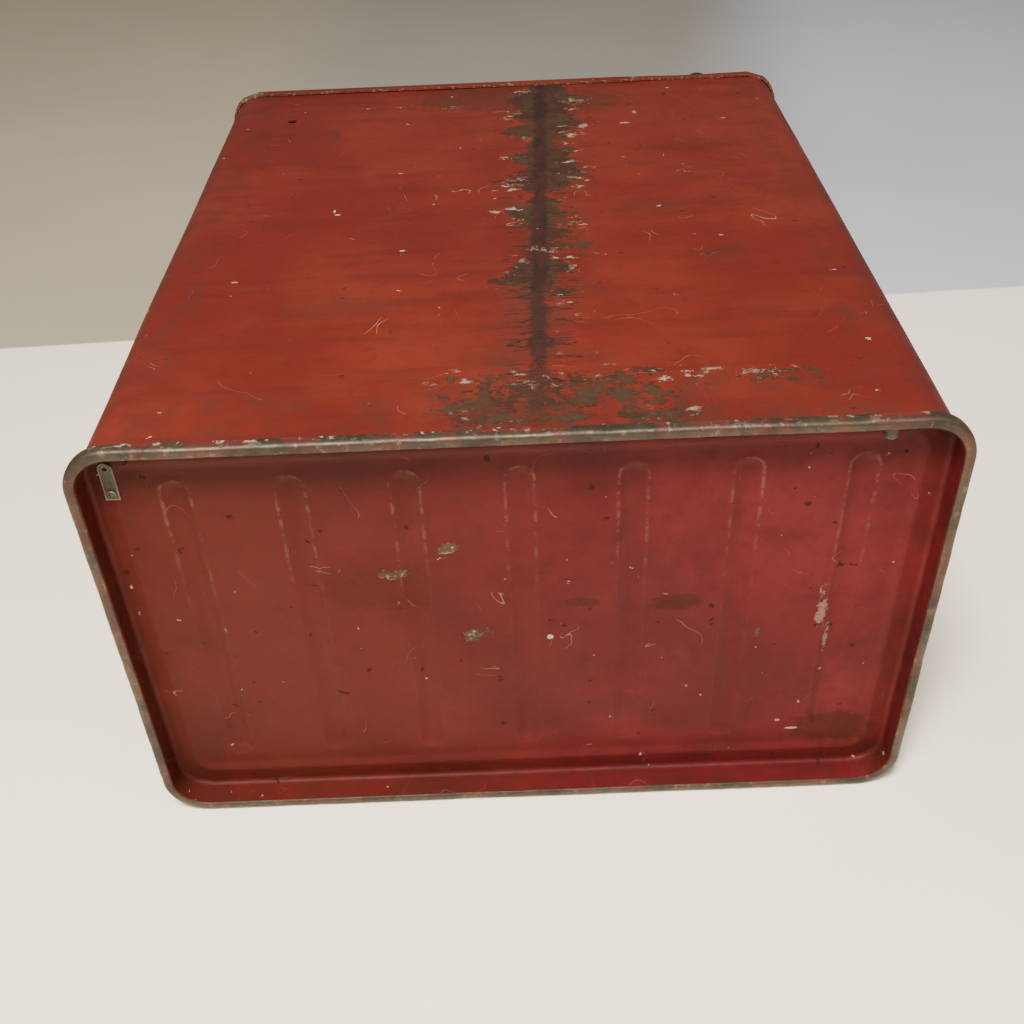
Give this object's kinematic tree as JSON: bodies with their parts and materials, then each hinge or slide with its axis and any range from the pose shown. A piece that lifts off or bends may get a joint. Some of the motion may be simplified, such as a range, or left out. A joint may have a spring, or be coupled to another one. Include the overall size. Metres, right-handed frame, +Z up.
{
  "type": "newspaper vending box",
  "caption": "Red sheet-metal newspaper box with a rolled rim, ribbed base, windowed front flap, coin slot with cash tin, and a locking hinged lid.",
  "frame": {"origin": "middle of the base rim's footprint, on the surface that the box stands on", "axes": "+Z up, -Y to the front with the door and coin slot, +Y to the back with the seam, +X to the side of the lid's hinge"},
  "size_m": [0.35, 0.2134, 0.416],
  "materials": {
    "shell_paint": "old red enamel, chipped to rust along the back seam",
    "base_paint": "old crimson enamel, scuffed and dusty",
    "rim_metal": "bare steel, dark with age, traces of red paint",
    "inner_steel": "bare mild steel, dull",
    "inner_paint": "thin red primer",
    "lid_paint": "old red enamel, worn pale along its edge",
    "door_paint": "old red enamel, worn at its edges",
    "hinge_steel": "dark rusty steel",
    "pin_steel": "bright steel gone dull",
    "plate_metal": "worn nickelled steel",
    "tin_plate": "tinplate, dull",
    "pane": "clear acrylic, scratched",
    "card": "blank aged card",
    "lock_metal": "dark die-cast metal, worn olive at the shoulders",
    "key_brass": "dull brass"
  },
  "bodies": {
    "cabinet": {"body_shell": "shell_paint", "base_pan": "base_paint", "base_rim": "rim_metal", "seam_strap": "inner_steel", "top_ring": "inner_steel", "corner_tab": "rim_metal", "base_rivets": "rim_metal", "door_frame": "inner_paint", "door_fixed_leaf": "hinge_steel", "door_hinge_pin": "pin_steel", "front_rivets": "hinge_steel", "paper_shelf": "inner_paint", "coin_partition": "inner_paint", "coin_slot_plate": "plate_metal", "coin_chute": "inner_steel", "card_holder": "plate_metal", "blank_card": "card", "lid_fixed_leaf": "hinge_steel", "lid_hinge_pin": "pin_steel", "lock_keeper": "inner_steel", "keeper_rivets": "inner_steel", "flap_pin": "pin_steel"},
    "front_door": {"door": "door_paint", "door_moving_leaf": "hinge_steel", "door_rivets": "door_paint", "window_pane": "pane", "window_retainer": "inner_steel", "retainer_screws": "pin_steel", "door_pull": "door_paint"},
    "flap": {"coin_flap": "plate_metal"},
    "tin": {"cash_tin": "tin_plate", "tin_cover": "tin_plate"},
    "top_lid": {"lid": "lid_paint", "lid_moving_leaf": "hinge_steel", "lid_rivets": "lid_paint", "lid_stiffener": "inner_paint", "lock_housing": "lock_metal", "lock_nut": "inner_steel", "lock_spring": "pin_steel"},
    "lock": {"lock_barrel": "lock_metal"},
    "key": {"key_plug": "key_brass"}
  },
  "joints": [
    {"name": "door_hinge", "type": "hinge", "parent": "cabinet", "child": "front_door", "pos_m": [0.028, -0.1044, 0.3396], "axis": [-1, 0, 0], "range_deg": [0, 85]},
    {"name": "lid_hinge", "type": "hinge", "parent": "cabinet", "child": "top_lid", "pos_m": [0.173, 0, 0.388], "axis": [0, 1, 0], "range_deg": [0, 110]},
    {"name": "lock_slide", "type": "slide", "parent": "top_lid", "child": "lock", "axis": [0, 0, -1], "range_m": [0, 0.014], "stiffness_N_per_m": 300, "springref_m": -0.012, "deforming": ["lock_spring"]},
    {"name": "key_turn", "type": "hinge", "parent": "lock", "child": "key", "pos_m": [-0.126, 0.091, 0.41], "axis": [0, 0, 1], "range_deg": [0, 90]},
    {"name": "flap_hinge", "type": "hinge", "parent": "cabinet", "child": "flap", "pos_m": [-0.128, -0.09855, 0.35], "axis": [1, 0, 0], "range_deg": [-3, 65]},
    {"name": "tin_slide", "type": "slide", "parent": "cabinet", "child": "tin", "axis": [0, 1, 0], "range_m": [0, 0.06]}
  ]
}
